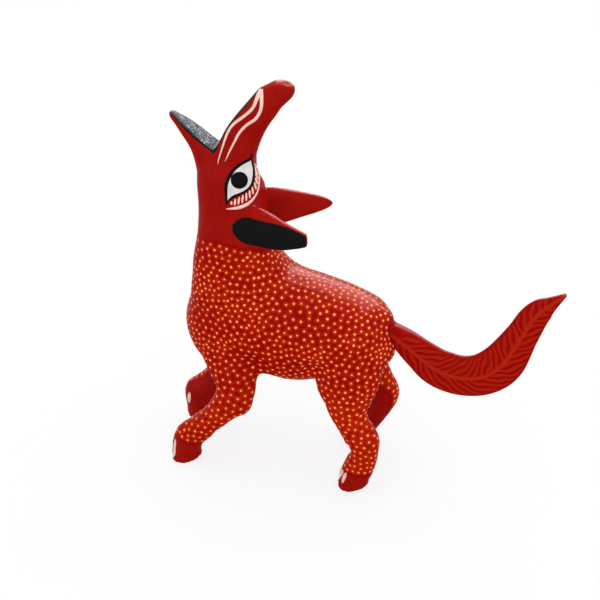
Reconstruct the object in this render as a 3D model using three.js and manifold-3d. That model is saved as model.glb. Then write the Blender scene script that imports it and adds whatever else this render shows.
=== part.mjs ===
// Howling dog figurine carved in soft wood: one carved body, with two ears and a tail pegged into it.
// Millimetres, +Z up. The dog faces -X and its left side is -Y.
import * as THREE from 'three';
import { mergeVertices } from 'three/addons/utils/BufferGeometryUtils.js';
import Module from 'manifold-3d';

const wasm = await Module();
wasm.setup();

// Fits and pegs
const CLEARANCE = 0.3; // between two pieces that touch
const TAIL_PEG_DIAMETER = 3.2;
const TAIL_PEG_IN_BODY = 12;
const TAIL_PEG_IN_TAIL = 8;
const EAR_PEG_DIAMETER = 2;
const EAR_PEG_IN_HEAD = 8;
const EAR_PEG_IN_EAR = 6;

// Legs
const LEG_LENGTH = 77; // from the top of the shoulder to the ground
const TRACK = 32; // left paw to right paw, centre to centre
const LEG_HALF_WIDTH = 5.4;
const LEG_HALF_DEPTH = 5.2;
const PAW_HALF_LENGTH = 6.5;

// Trunk, whose rump is at X = 0
const TRUNK_LENGTH = 90; // from the front of the chest to the rump
const TRUNK_HALF_WIDTH = 19.5;
const TRUNK_HALF_HEIGHT = 26;
const TRUNK_Z = 0.896 * LEG_LENGTH; // height of its middle
const SHOULDER_X = -0.789 * TRUNK_LENGTH;
const HIP_X = -0.2 * TRUNK_LENGTH;

// Neck and head
const NECK_LENGTH = 67.5; // from the middle of the trunk up to the middle of the head
const NECK_HALF_WIDTH = 13;
const NECK_HALF_DEPTH = 15.8; // throat to nape
const HEAD_X = -0.77 * TRUNK_LENGTH; // middle of the head, at the eyes
const HEAD_Z = TRUNK_Z + NECK_LENGTH;
const HEAD_HALF_WIDTH = 11;
const HEAD_HALF_DEPTH = 13.5;
const HEAD_SQUARENESS = 2.4; // 2 is an oval section, more is boxier
const SNOUT_LENGTH = 48; // from the middle of the head to the nose
const SNOUT_HALF_WIDTH = 6;
const SNOUT_HALF_DEPTH = 7;
const JAW_LENGTH = 34; // from the middle of the head to the tip of the lower jaw
const JAW_HALF_WIDTH = 5.6;
const JAW_HALF_DEPTH = 5.2;
const MOUTH_CORNER_X = HEAD_X - 0.111 * SNOUT_LENGTH;
const MOUTH_CORNER_Z = HEAD_Z + 0.23 * SNOUT_LENGTH;

// Tail
const TAIL_LENGTH = 70; // straight back from its root to its tip
const TAIL_SEAT = 2; // how deep its root is let into the rump
const TAIL_ROOT_Z = TRUNK_Z + 0.223 * TRUNK_HALF_HEIGHT;
const TAIL_DROOP = 36; // degrees below level, the way its peg points
const TAIL_HALF_WIDTH = 10;
const TAIL_HALF_THICKNESS = 2.4;
const TAIL_ROOT_HALF_THICKNESS = 3.2;
const TAIL_ROOT_HALF_WIDTH = 3.6;

// Ears, set out for the right one and mirrored for the left
const EAR_ROOT_X = HEAD_X + 1.022 * HEAD_HALF_DEPTH;
const EAR_ROOT_Y = 0.818 * HEAD_HALF_WIDTH;
const EAR_ROOT_Z = HEAD_Z - 1.326 * HEAD_HALF_DEPTH;
const EAR_LENGTH = 24.7;
const EAR_HALF_HEIGHT = 9;
const EAR_HALF_THICKNESS = 1.4;
const EAR_ROOT_HALF_THICKNESS = 2.8;
const EAR_SPLAY = 18; // degrees out from the dog's centre plane
const EAR_DROOP = -3; // degrees below level

const SOLE_CUT = 0.039; // share of a leg's length that is cut off flat at the ground

// Mesh fineness
const TRUNK_SIDES = 28;
const LIMB_SIDES = 16;
const PEG_SIDES = 20;

const radians = THREE.MathUtils.degToRad;

/** One cross-section of a loft: its centre, half-width across (sideways) and half-depth. */
function station(x, y, z, across, deep) {
  return { centre: new THREE.Vector3(x, y, z), across, deep };
}

/**
 * A closed body with oval cross-sections along a smooth spine, boxier as square goes above 2.
 * caps holds how far the rounded end runs on past the first and the last station.
 */
function loft(stations, { sides, rings, caps, grow = 0, square = 2 }) {
  const spine = new THREE.CatmullRomCurve3(stations.map((s) => s.centre));
  const girth = new THREE.CatmullRomCurve3(
    stations.map((s) => new THREE.Vector3(s.across + grow, s.deep + grow, 0)),
  );
  const positions = [];
  const index = [];
  const bulge = (v) => Math.sign(v) * Math.abs(v) ** (2 / square);
  const addRing = (t, run, share) => {
    const tangent = spine.getTangent(t);
    const centre = spine.getPoint(t).addScaledVector(tangent, run);
    const half = girth.getPoint(t);
    const side = new THREE.Vector3(0, 1, 0).addScaledVector(tangent, -tangent.y).normalize();
    const up = new THREE.Vector3().crossVectors(tangent, side);
    for (let i = 0; i < sides; i++) {
      const angle = (2 * Math.PI * i) / sides;
      const point = centre
        .clone()
        .addScaledVector(side, half.x * share * bulge(Math.cos(angle)))
        .addScaledVector(up, half.y * share * bulge(Math.sin(angle)));
      positions.push(point.x, point.y, point.z);
    }
  };
  const capRings = 5;
  for (let k = capRings - 1; k > 0; k--) {
    const turn = (k / capRings) * (Math.PI / 2);
    addRing(0, -(caps[0] + grow) * Math.sin(turn), Math.cos(turn));
  }
  for (let k = 0; k <= rings; k++) addRing(k / rings, 0, 1);
  for (let k = 1; k < capRings; k++) {
    const turn = (k / capRings) * (Math.PI / 2);
    addRing(1, (caps[1] + grow) * Math.sin(turn), Math.cos(turn));
  }
  const count = positions.length / (3 * sides);
  for (let r = 0; r + 1 < count; r++) {
    for (let i = 0; i < sides; i++) {
      const a = r * sides + i;
      const b = r * sides + ((i + 1) % sides);
      index.push(a, b, a + sides, b, b + sides, a + sides);
    }
  }
  const poles = [
    spine.getPoint(0).addScaledVector(spine.getTangent(0), -(caps[0] + grow)),
    spine.getPoint(1).addScaledVector(spine.getTangent(1), caps[1] + grow),
  ];
  poles.forEach((pole) => positions.push(pole.x, pole.y, pole.z));
  const last = (count - 1) * sides;
  for (let i = 0; i < sides; i++) {
    const j = (i + 1) % sides;
    index.push(count * sides, j, i);
    index.push(count * sides + 1, last + i, last + j);
  }
  const geometry = new THREE.BufferGeometry();
  geometry.setAttribute('position', new THREE.Float32BufferAttribute(positions, 3));
  geometry.setIndex(index);
  return geometry;
}

/** A closed geometry, moved by a matrix, as a solid that can be joined and cut. */
function solid(geometry, matrix = new THREE.Matrix4()) {
  const bare = geometry.clone().applyMatrix4(matrix);
  bare.deleteAttribute('normal');
  bare.deleteAttribute('uv');
  const merged = mergeVertices(bare, 1e-4);
  const body = new wasm.Manifold(
    new wasm.Mesh({
      numProp: 3,
      vertProperties: new Float32Array(merged.attributes.position.array),
      triVerts: new Uint32Array(merged.index.array),
    }),
  );
  return body;
}

/** A solid back as geometry for a mesh. */
function geometryOf(body) {
  const mesh = body.getMesh();
  const geometry = new THREE.BufferGeometry();
  geometry.setAttribute('position', new THREE.BufferAttribute(mesh.vertProperties, 3));
  geometry.setIndex(new THREE.BufferAttribute(mesh.triVerts, 1));
  geometry.computeVertexNormals();
  return geometry;
}

/** A round peg, or the hole for one, along local X from -inner to +outer. */
function peg(diameter, inner, outer, grow = 0) {
  const length = inner + outer + 2 * grow;
  const geometry = new THREE.CylinderGeometry(diameter / 2 + grow, diameter / 2 + grow, length, PEG_SIDES);
  geometry.rotateZ(-Math.PI / 2);
  geometry.translate((outer - inner) / 2, 0, 0);
  return geometry;
}

/** A flat outline in X and Z, carried through the whole width of the head. */
function throughHead(outline) {
  const depth = 4 * HEAD_HALF_WIDTH;
  const geometry = new THREE.ExtrudeGeometry(new THREE.Shape(outline), { depth, bevelEnabled: false });
  geometry.rotateX(Math.PI / 2);
  geometry.translate(0, depth / 2, 0);
  return geometry;
}

function trunk() {
  const l = TRUNK_LENGTH;
  const w = TRUNK_HALF_WIDTH;
  const h = TRUNK_HALF_HEIGHT;
  return loft(
    [
      station(-0.156 * l, 0, TRUNK_Z - 0.085 * h, 0.9 * w, 0.777 * h),
      station(-0.311 * l, 0, TRUNK_Z, 0.96 * w, 0.885 * h),
      station(-0.467 * l, 0, TRUNK_Z, w, h),
      station(-0.644 * l, 0, TRUNK_Z - 0.04 * h, w, 0.98 * h),
      station(-0.8 * l, 0, TRUNK_Z - 0.135 * h, 0.872 * w, 0.877 * h),
    ],
    { sides: TRUNK_SIDES, rings: 16, caps: [0.156 * l, 0.2 * l] },
  );
}

function neckHeadAndSnout() {
  const neck = NECK_LENGTH;
  const long = SNOUT_LENGTH;
  const wide = SNOUT_HALF_WIDTH;
  const deep = SNOUT_HALF_DEPTH;
  const w = TRUNK_HALF_WIDTH;
  const h = TRUNK_HALF_HEIGHT;
  const head = HEAD_HALF_WIDTH;
  return loft(
    [
      station(-0.556 * TRUNK_LENGTH, 0, TRUNK_Z - 0.077 * h, 0.92 * w, 0.92 * h),
      station(-0.686 * TRUNK_LENGTH, 0, TRUNK_Z + 0.423 * h, 0.897 * w, 1.02 * h),
      station(HEAD_X + 0.04 * neck, 0, HEAD_Z - 0.63 * neck, 1.15 * NECK_HALF_WIDTH, 1.29 * NECK_HALF_DEPTH),
      station(HEAD_X + 0.019 * neck, 0, HEAD_Z - 0.4 * neck, NECK_HALF_WIDTH, NECK_HALF_DEPTH),
      station(HEAD_X + 0.004 * neck, 0, HEAD_Z - 0.193 * neck, 1.07 * head, 1.015 * HEAD_HALF_DEPTH),
      station(HEAD_X, 0, HEAD_Z, head, HEAD_HALF_DEPTH),
      station(HEAD_X + 0.044 * long, 0, HEAD_Z + 0.229 * long, 0.645 * head, 1.25 * deep),
      station(HEAD_X + 0.143 * long, 0, HEAD_Z + 0.458 * long, wide, 1.1 * deep),
      station(HEAD_X + 0.268 * long, 0, HEAD_Z + 0.634 * long, 0.93 * wide, 0.96 * deep),
      station(HEAD_X + 0.405 * long, 0, HEAD_Z + 0.752 * long, 0.8 * wide, 0.8 * deep),
    ],
    { sides: TRUNK_SIDES, rings: 36, caps: [0.15 * neck, 0.167 * long], square: HEAD_SQUARENESS },
  );
}

function lowerJaw() {
  const long = JAW_LENGTH;
  const wide = JAW_HALF_WIDTH;
  const deep = JAW_HALF_DEPTH;
  return loft(
    [
      station(HEAD_X - 0.05 * long, 0, HEAD_Z - 0.265 * long, 1.71 * wide, 2.1 * deep),
      station(HEAD_X - 0.197 * long, 0, HEAD_Z + 0.118 * long, 1.25 * wide, 1.6 * deep),
      station(HEAD_X - 0.382 * long, 0, HEAD_Z + 0.382 * long, wide, deep),
      station(HEAD_X - 0.544 * long, 0, HEAD_Z + 0.579 * long, 0.75 * wide, 0.71 * deep),
      station(HEAD_X - 0.647 * long, 0, HEAD_Z + 0.668 * long, 0.5 * wide, 0.5 * deep),
    ],
    { sides: LIMB_SIDES, rings: 16, caps: [0.18 * long, 0.076 * long] },
  );
}

/** The wedge between the jaws: its lower side is the floor of the mouth, its upper side the palate. */
function mouth() {
  const from = (length) => (along, up) =>
    new THREE.Vector2(MOUTH_CORNER_X + along * length, MOUTH_CORNER_Z + up * length);
  const snout = from(SNOUT_LENGTH);
  const jaw = from(JAW_LENGTH);
  const palate = new THREE.SplineCurve([
    snout(0, 0),
    snout(0.03, 0.048),
    snout(0.123, 0.238),
    snout(0.257, 0.418),
    snout(0.396, 0.599),
  ]);
  const floor = new THREE.SplineCurve([
    jaw(-0.606, 0.401),
    jaw(-0.379, 0.268),
    jaw(-0.222, 0.147),
    jaw(0, 0),
  ]);
  const above = [snout(0.387, 0.783), jaw(-0.637, 1.113)];
  return throughHead([...palate.getPoints(12), ...above, ...floor.getPoints(6).slice(0, -1)]);
}

function leftFrontLeg() {
  const l = LEG_LENGTH;
  const w = LEG_HALF_WIDTH;
  const d = LEG_HALF_DEPTH;
  const paw = PAW_HALF_LENGTH;
  const x = SHOULDER_X;
  const y = -TRACK / 2;
  return loft(
    [
      station(x, y + 0.31 * TRACK, l, 1.37 * w, 2.5 * d),
      station(x + 0.039 * l, y + 0.156 * TRACK, 0.701 * l, 1.41 * w, 2.385 * d),
      station(x + 0.081 * l, y + 0.063 * TRACK, 0.526 * l, 1.185 * w, 1.69 * d),
      station(x + 0.036 * l, y + 0.025 * TRACK, 0.415 * l, 1.07 * w, 1.45 * d),
      station(x - 0.066 * l, y, 0.3 * l, w, 1.08 * d),
      station(x - 0.173 * l, y, 0.19 * l, w, 1.077 * d),
      station(x - 0.221 * l, y, 0.084 * l, 1.056 * w, paw),
      station(x - 0.221 * l, y, -SOLE_CUT * l, 0.926 * w, 0.908 * paw),
    ],
    { sides: LIMB_SIDES, rings: 21, caps: [0.078 * l, 0.013 * l] },
  );
}

function rightFrontLeg() {
  const l = LEG_LENGTH;
  const w = LEG_HALF_WIDTH;
  const d = LEG_HALF_DEPTH;
  const paw = PAW_HALF_LENGTH;
  const x = SHOULDER_X;
  const y = TRACK / 2;
  return loft(
    [
      station(x, y - 0.31 * TRACK, l, 1.37 * w, 2.5 * d),
      station(x + 0.026 * l, y - 0.156 * TRACK, 0.701 * l, 1.41 * w, 2.385 * d),
      station(x + 0.0195 * l, y - 0.063 * TRACK, 0.52 * l, 1.185 * w, 1.73 * d),
      station(x - 0.045 * l, y - 0.025 * TRACK, 0.366 * l, 1.07 * w, 1.5 * d),
      station(x - 0.165 * l, y, 0.27 * l, w, 1.65 * d),
      station(x - 0.266 * l, y, 0.19 * l, w, 1.55 * d),
      station(x - 0.279 * l, y, 0.091 * l, 1.056 * w, 1.077 * paw),
      station(x - 0.266 * l, y, -SOLE_CUT * l, 0.926 * w, 0.97 * paw),
    ],
    { sides: LIMB_SIDES, rings: 21, caps: [0.078 * l, 0.013 * l] },
  );
}

function leftHindLeg() {
  const l = LEG_LENGTH;
  const w = LEG_HALF_WIDTH;
  const d = LEG_HALF_DEPTH;
  const paw = PAW_HALF_LENGTH;
  const x = HIP_X;
  const y = -TRACK / 2;
  return loft(
    [
      station(x, y + 0.344 * TRACK, 0.974 * l, 1.37 * w, 2.115 * d),
      station(x + 0.039 * l, y + 0.144 * TRACK, 0.74 * l, 1.444 * w, 2.654 * d),
      station(x + 0.034 * l, y + 0.056 * TRACK, 0.591 * l, 1.26 * w, 2.1 * d),
      station(x + 0.041 * l, y + 0.016 * TRACK, 0.487 * l, 1.11 * w, 1.57 * d),
      station(x + 0.108 * l, y, 0.37 * l, 1.037 * w, 1.37 * d),
      station(x + 0.14 * l, y, 0.253 * l, w, 1.19 * d),
      station(x + 0.114 * l, y, 0.149 * l, 1.02 * w, paw),
      station(x + 0.088 * l, y, 0.065 * l, 1.056 * w, paw),
      station(x + 0.081 * l, y, -SOLE_CUT * l, 0.926 * w, 0.908 * paw),
    ],
    { sides: LIMB_SIDES, rings: 24, caps: [0.078 * l, 0.013 * l] },
  );
}

function rightHindLeg() {
  const l = LEG_LENGTH;
  const w = LEG_HALF_WIDTH;
  const d = LEG_HALF_DEPTH;
  const paw = PAW_HALF_LENGTH;
  const x = HIP_X;
  const y = TRACK / 2;
  return loft(
    [
      station(x, y - 0.344 * TRACK, 0.974 * l, 1.37 * w, 2.115 * d),
      station(x + 0.052 * l, y - 0.144 * TRACK, 0.74 * l, 1.444 * w, 2.5 * d),
      station(x + 0.065 * l, y - 0.056 * TRACK, 0.591 * l, 1.26 * w, 1.73 * d),
      station(x + 0.123 * l, y - 0.016 * TRACK, 0.474 * l, 1.11 * w, 1.23 * d),
      station(x + 0.169 * l, y, 0.383 * l, w, 1.115 * d),
      station(x + 0.123 * l, y, 0.26 * l, w, d),
      station(x + 0.052 * l, y, 0.143 * l, w, 1.04 * d),
      station(x + 0.013 * l, y, 0.0585 * l, 1.056 * w, 0.97 * paw),
      station(x + 0.0065 * l, y, -SOLE_CUT * l, 0.926 * w, 0.908 * paw),
    ],
    { sides: LIMB_SIDES, rings: 24, caps: [0.078 * l, 0.013 * l] },
  );
}

/** The tail's feather blade in its own frame, whose origin is the middle of its root. */
function tailBlade(grow = 0) {
  const l = TAIL_LENGTH;
  const root = TAIL_ROOT_HALF_THICKNESS;
  const thick = TAIL_HALF_THICKNESS;
  const wide = TAIL_HALF_WIDTH;
  return loft(
    [
      station(0, 0, 0, root, TAIL_ROOT_HALF_WIDTH),
      station(0.1086 * l, 0, -0.08 * l, root, 1.5 * TAIL_ROOT_HALF_WIDTH),
      station(0.21 * l, 0, -0.1614 * l, 1.125 * thick, 0.75 * wide),
      station(0.323 * l, 0, -0.2314 * l, thick, 0.95 * wide),
      station(0.45 * l, 0, -0.267 * l, thick, wide),
      station(0.5857 * l, 0, -0.2357 * l, thick, wide),
      station(0.7 * l, 0, -0.137 * l, thick, 0.9 * wide),
      station(0.787 * l, 0, 0.066 * l, 0.917 * thick, 0.7 * wide),
      station(0.847 * l, 0, 0.194 * l, 0.833 * thick, 0.56 * wide),
      station(0.8886 * l, 0, 0.2757 * l, 0.75 * thick, 0.5 * wide),
      station(0.9314 * l, 0, 0.3286 * l, 0.625 * thick, 0.32 * wide),
      station(0.997 * l, 0, 0.397 * l, 0.417 * thick, 0.08 * wide),
    ],
    { sides: LIMB_SIDES, rings: 34, caps: [CLEARANCE, 0.014 * l], grow },
  );
}

/** The stump carved with the head that an ear stands on, in the ear's frame. */
function earStump() {
  const root = EAR_ROOT_HALF_THICKNESS;
  const high = EAR_HALF_HEIGHT;
  return loft(
    [
      station(-1.67 * high, -0.36 * root, 0, root, 0.643 * high),
      station(-0.83 * high, -0.14 * root, 0, 1.286 * root, high),
      station(0, 0, 0, root, high),
    ],
    { sides: LIMB_SIDES, rings: 8, caps: [0.36 * high, CLEARANCE] },
  );
}

/** One ear's leaf in its own frame: X runs from its root to its tip and Y through its thickness. */
function earLeaf(grow = 0) {
  const l = EAR_LENGTH;
  const high = EAR_HALF_HEIGHT;
  const thin = EAR_HALF_THICKNESS;
  return loft(
    [
      station(0, 0, 0, EAR_ROOT_HALF_THICKNESS, high),
      station(0.26 * l, 0, 0, 1.643 * thin, 0.84 * high),
      station(0.52 * l, 0, -0.006 * l, 1.286 * thin, 0.655 * high),
      station(0.78 * l, 0, -0.012 * l, thin, 0.465 * high),
      station(0.94 * l, 0, -0.016 * l, 0.786 * thin, 0.33 * high),
    ],
    { sides: LIMB_SIDES, rings: 14, caps: [CLEARANCE, 0.06 * l], grow },
  );
}

const tailFrame = new THREE.Group();
tailFrame.position.set(-TAIL_SEAT, 0, TAIL_ROOT_Z);
const tailPegFrame = new THREE.Group();
tailPegFrame.rotation.y = radians(TAIL_DROOP);
tailFrame.add(tailPegFrame);

/** The frame of an ear on one side, -1 for the left: its X axis is the way the ear pulls off. */
function earFrame(side) {
  const frame = new THREE.Group();
  frame.position.set(EAR_ROOT_X, side * EAR_ROOT_Y, EAR_ROOT_Z);
  frame.rotation.set(0, radians(EAR_DROOP), side * radians(EAR_SPLAY), 'ZYX');
  return frame;
}
const leftEarFrame = earFrame(-1);
const rightEarFrame = earFrame(1);
const earFrames = [leftEarFrame, rightEarFrame];

const dog = new THREE.Group();
dog.add(tailFrame, leftEarFrame, rightEarFrame);
dog.updateMatrixWorld(true);

// The carved body: everything joined, then the mouth, the sockets and the soles cut
const ground = new THREE.BoxGeometry(4 * TRUNK_LENGTH, 4 * TRACK, LEG_LENGTH);
ground.translate(0, 0, -LEG_LENGTH / 2);
const tailHole = peg(TAIL_PEG_DIAMETER, TAIL_PEG_IN_BODY, TAIL_PEG_IN_TAIL, CLEARANCE);
const earHole = peg(EAR_PEG_DIAMETER, EAR_PEG_IN_HEAD, EAR_PEG_IN_EAR, CLEARANCE);
const legs = [leftFrontLeg(), rightFrontLeg(), leftHindLeg(), rightHindLeg()];
const carved = [neckHeadAndSnout(), lowerJaw(), ...legs]
  .reduce((whole, limb) => whole.add(solid(limb)), solid(trunk()))
  .subtract(solid(mouth()))
  .subtract(solid(ground))
  .subtract(solid(tailBlade(CLEARANCE), tailFrame.matrixWorld))
  .subtract(solid(tailHole, tailPegFrame.matrixWorld));
const carvedBody = earFrames.reduce(
  (whole, frame) =>
    whole
      .add(solid(earStump(), frame.matrixWorld))
      .subtract(solid(earLeaf(CLEARANCE), frame.matrixWorld))
      .subtract(solid(earHole, frame.matrixWorld)),
  carved,
);

const paintedRed = new THREE.MeshStandardMaterial({ color: 0x94100a, roughness: 0.4, metalness: 0 });
const paintedOrange = new THREE.MeshStandardMaterial({ color: 0xac2912, roughness: 0.45, metalness: 0 });
const paintedBlack = new THREE.MeshStandardMaterial({ color: 0x161616, roughness: 0.45, metalness: 0 });
const bareWood = new THREE.MeshStandardMaterial({ color: 0xc9a878, roughness: 0.75, metalness: 0 });

/** Adds a named piece to a frame. */
function piece(name, geometry, material, frame) {
  const mesh = new THREE.Mesh(geometry, material);
  mesh.name = name;
  frame.add(mesh);
}

piece('carved_body', geometryOf(carvedBody), paintedOrange, dog);

const tailCut = solid(tailHole.clone().rotateY(radians(TAIL_DROOP)));
piece('tail', geometryOf(solid(tailBlade()).subtract(tailCut)), paintedRed, tailFrame);
piece('tail_peg', peg(TAIL_PEG_DIAMETER, TAIL_PEG_IN_BODY, TAIL_PEG_IN_TAIL), bareWood, tailPegFrame);

[['left', leftEarFrame], ['right', rightEarFrame]].forEach(([side, frame]) => {
  const leaf = solid(earLeaf()).subtract(solid(earHole));
  piece(`${side}_ear`, geometryOf(leaf), paintedBlack, frame);
  const earPeg = peg(EAR_PEG_DIAMETER, EAR_PEG_IN_HEAD, EAR_PEG_IN_EAR);
  piece(`${side}_ear_peg`, earPeg, bareWood, frame);
});

// The whole dog stands with the middle of its box over the origin
const box = new THREE.Box3().setFromObject(dog, true);
dog.position.set(-(box.min.x + box.max.x) / 2, -(box.min.y + box.max.y) / 2, -box.min.z);

const group = new THREE.Group();
group.add(dog);
export default group;
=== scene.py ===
"""Dresses a packed howling-dog figurine as carved, painted and varnished wood.

The carving, its tail and its ears come as CAD solids. Here they get a smooth carved skin, some two thousand
raised paint dots, painted eyes, claws and stripes, a feathered tail and a plain pale studio.
"""

import logging
import math
import random
from dataclasses import dataclass, field
from enum import Enum
from typing import Any, Sequence

import bmesh
import bpy
import numpy as np
from mathutils import Matrix, Vector
from mathutils.bvhtree import BVHTree
from mathutils.kdtree import KDTree


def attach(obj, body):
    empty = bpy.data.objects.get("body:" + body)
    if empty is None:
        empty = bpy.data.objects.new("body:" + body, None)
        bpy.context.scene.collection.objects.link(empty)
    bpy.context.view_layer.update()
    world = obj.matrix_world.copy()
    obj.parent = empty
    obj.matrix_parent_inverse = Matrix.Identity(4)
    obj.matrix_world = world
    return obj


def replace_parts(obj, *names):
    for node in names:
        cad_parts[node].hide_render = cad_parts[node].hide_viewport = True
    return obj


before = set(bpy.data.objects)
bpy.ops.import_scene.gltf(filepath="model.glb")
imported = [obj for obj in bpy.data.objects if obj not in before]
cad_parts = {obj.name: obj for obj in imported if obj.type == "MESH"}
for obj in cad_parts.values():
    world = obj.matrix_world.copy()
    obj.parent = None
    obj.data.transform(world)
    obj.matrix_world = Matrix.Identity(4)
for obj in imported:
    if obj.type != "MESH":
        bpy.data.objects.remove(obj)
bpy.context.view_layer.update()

log = logging.getLogger("howling_dog")

BMesh = bmesh.types.BMesh
Material = bpy.types.Material
Colour = tuple[float, float, float, float]
Place = tuple[float, float]
Places = tuple[Place, ...]
Point = tuple[float, float, float]
Path = tuple[Point, ...]
Stations = tuple[tuple[float, float, float, float], ...]

MM = 0.001
# Points that lie closer than this are one, in metres
MERGE = 1e-6
# The mark of a point well outside a painted patch, in millimetres
OUTSIDE = -3.0
# Layers of detail in a noise
SOFT, MIDDLING, FINE = 2.0, 3.0, 4.0
# Places on the carving in millimetres, as in the part's source
TAIL_SEAT = (13.61, 0.0, 74.79)
MOUTH_CORNER = (-59.02, 0.0, 147.53)


class Side(Enum):
    """A side of the dog, with the sign of its Y."""

    LEFT = -1
    RIGHT = 1

    @property
    def word(self) -> str:
        """The side's name as used in piece names."""
        return self.name.lower()


def srgb(red: int, green: int, blue: int) -> Colour:
    """A colour given in screen values.

    Args:
        red: 0 to 255, as are green and blue.
    Returns:
        The same colour as linear RGBA.
    """
    def linear(value: int) -> float:
        """One screen value as linear light."""
        share = value / 255
        return share / 12.92 if share <= 0.04045 else ((share + 0.055) / 1.055) ** 2.4

    return linear(red), linear(green), linear(blue), 1.0


def spline(points: Sequence[Sequence[float]], count: int) -> np.ndarray:
    """A smooth curve through rows of numbers, such as places with widths.

    Args:
        points: the rows that the curve passes through.
        count: how many rows to return.
    Returns:
        An array of count rows, evenly spaced in the curve's own measure.
    """
    rows = np.asarray(points, dtype=float)
    padded = np.vstack([2 * rows[0] - rows[1], rows, 2 * rows[-1] - rows[-2]])
    measure = np.linspace(0, len(rows) - 1, count)
    index = np.minimum(measure.astype(int), len(rows) - 2)
    t = (measure - index)[:, None]
    a, b, c, d = (padded[index + k] for k in range(4))
    return 0.5 * (2 * b + (c - a) * t + (2 * a - 5 * b + 4 * c - d) * t**2 + (3 * b - a - 3 * c + d) * t**3)


def ramp(value: np.ndarray, limits: Place) -> np.ndarray:
    """0 at the first limit and 1 at the second, straight between them and flat beyond."""
    start, end = limits
    return np.clip((value - start) / (end - start), 0, 1)


def graded(value: float | np.ndarray, table: Places) -> float | np.ndarray:
    """Reads a table of values, straight between its rows and flat beyond them."""
    return np.interp(value, *zip(*table))


def finder(places: Sequence[Sequence[float]]) -> KDTree:
    """Sorts places for a search.

    Args:
        places: the places to look among.
    Returns:
        A tree that finds the nearest one.
    """
    tree = KDTree(len(places))
    for index, place in enumerate(places):
        tree.insert(place, index)
    tree.balance()
    return tree


# Node graphs


class Value:
    """A node's output that takes part in Python arithmetic by adding Math nodes."""

    def __init__(self, graph: "Graph", socket: bpy.types.NodeSocket) -> None:
        """Keeps the socket and the graph that it is in."""
        self.graph = graph
        self.socket = socket

    def _math(self, operation: str, first: Any, second: Any = 0.0) -> "Value":
        """The result of one Math node."""
        return self.graph.add("ShaderNodeMath", {"operation": operation}, {0: first, 1: second})

    def __add__(self, other: Any) -> "Value":
        """Sum."""
        return self._math("ADD", self, other)

    def __sub__(self, other: Any) -> "Value":
        """Difference."""
        return self._math("SUBTRACT", self, other)

    def __rsub__(self, other: Any) -> "Value":
        """Difference the other way round."""
        return self._math("SUBTRACT", other, self)

    def __mul__(self, other: Any) -> "Value":
        """Product."""
        return self._math("MULTIPLY", self, other)

    __radd__ = __add__
    __rmul__ = __mul__

    def sine(self) -> "Value":
        """Sine of an angle in radians."""
        return self._math("SINE", self)

    def larger(self, other: Any) -> "Value":
        """The larger of two values."""
        return self._math("MAXIMUM", self, other)

    def step(self, start: float, end: float) -> "Value":
        """0 at start and 1 at end, smooth between them and flat beyond."""
        inputs = {"Value": self, "From Min": start, "From Max": end}
        return self.graph.add("ShaderNodeMapRange", {"interpolation_type": "SMOOTHSTEP"}, inputs)


class Graph:
    """The node tree of one material or world."""

    def __init__(self, owner: Material | bpy.types.World) -> None:
        """Empties the owner's tree."""
        owner.use_nodes = True
        self.owner = owner
        self.tree = owner.node_tree
        self.tree.nodes.clear()

    def add(
        self,
        kind: str,
        settings: dict[str, Any] | None = None,
        inputs: dict[str | int, Any] | None = None,
        output: str | int = 0,
    ) -> Value | None:
        """Adds a node.

        Args:
            kind: the node's type.
            settings: the node's own options, set first; stops are a colour ramp's.
            inputs: values or links by socket name or number.
            output: the output that is wanted.
        Returns:
            That output, or None for a node that has none.
        """
        node = self.tree.nodes.new(kind)
        for key, setting in (settings or {}).items():
            if key == "stops":
                self._set_stops(node.color_ramp, setting)
            else:
                setattr(node, key, setting)
        for key, given in (inputs or {}).items():
            if isinstance(given, Value):
                self.tree.links.new(given.socket, node.inputs[key])
            else:
                node.inputs[key].default_value = given
        return Value(self, node.outputs[output]) if node.outputs else None

    @staticmethod
    def _set_stops(ramp: bpy.types.ColorRamp, stops: Sequence[tuple[float, Colour]]) -> None:
        """Gives a colour ramp its stops.

        Args:
            ramp: the ramp, which has fewer stops so far.
            stops: each stop's position and colour.
        """
        while len(ramp.elements) < len(stops):
            ramp.elements.new(1.0)
        for element, (position, colour) in zip(ramp.elements, stops):
            element.position = position
            element.color = colour

    def mark(self, name: str) -> Value:
        """A named value that the mesh keeps on its points."""
        return self.add("ShaderNodeAttribute", {"attribute_name": name}, output="Fac")

    def place(self) -> Value:
        """The point's place in its piece, in metres."""
        return self.add("ShaderNodeTexCoord", output="Object")

    def upward(self) -> Value:
        """How far the surface faces up: 1 on top, -1 underneath."""
        normal = self.add("ShaderNodeNewGeometry", output="Normal")
        return self.add("ShaderNodeSeparateXYZ", inputs={0: normal}, output="Z")

    def noise(self, grain: float, detail: float = MIDDLING, vector: Value | None = None) -> Value:
        """Soft noise whose lumps are about grain metres across."""
        inputs = {"Vector": vector or self.place(), "Scale": 1 / grain, "Detail": detail}
        return self.add("ShaderNodeTexNoise", inputs=inputs)

    def stretched(self, factors: Point) -> Value:
        """The point's place, scaled apart along each axis."""
        return self.add("ShaderNodeMapping", inputs={"Vector": self.place(), "Scale": factors})

    def mix(self, share: Value, first: Any, second: Any) -> Value:
        """Two colours mixed: the first where share is 0, the second where it is 1."""
        return self.add("ShaderNodeMix", {"data_type": "RGBA"}, {0: share, 6: first, 7: second}, 2)

    def tones(self, share: Value, stops: Sequence[tuple[float, Colour]]) -> Value:
        """A colour that runs through stops as share goes from 0 to 1."""
        return self.add("ShaderNodeValToRGB", {"stops": stops}, {"Fac": share}, "Color")

    def bump(self, height: Value, depth: float, strength: float) -> Value:
        """A normal that follows a height of that depth in metres."""
        inputs = {"Strength": strength, "Distance": depth, "Height": height}
        return self.add("ShaderNodeBump", inputs=inputs)


# Finishes


BLACK = srgb(20, 20, 20)
RED = srgb(155, 18, 11)
DEEP_RED = srgb(141, 12, 8)


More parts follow.
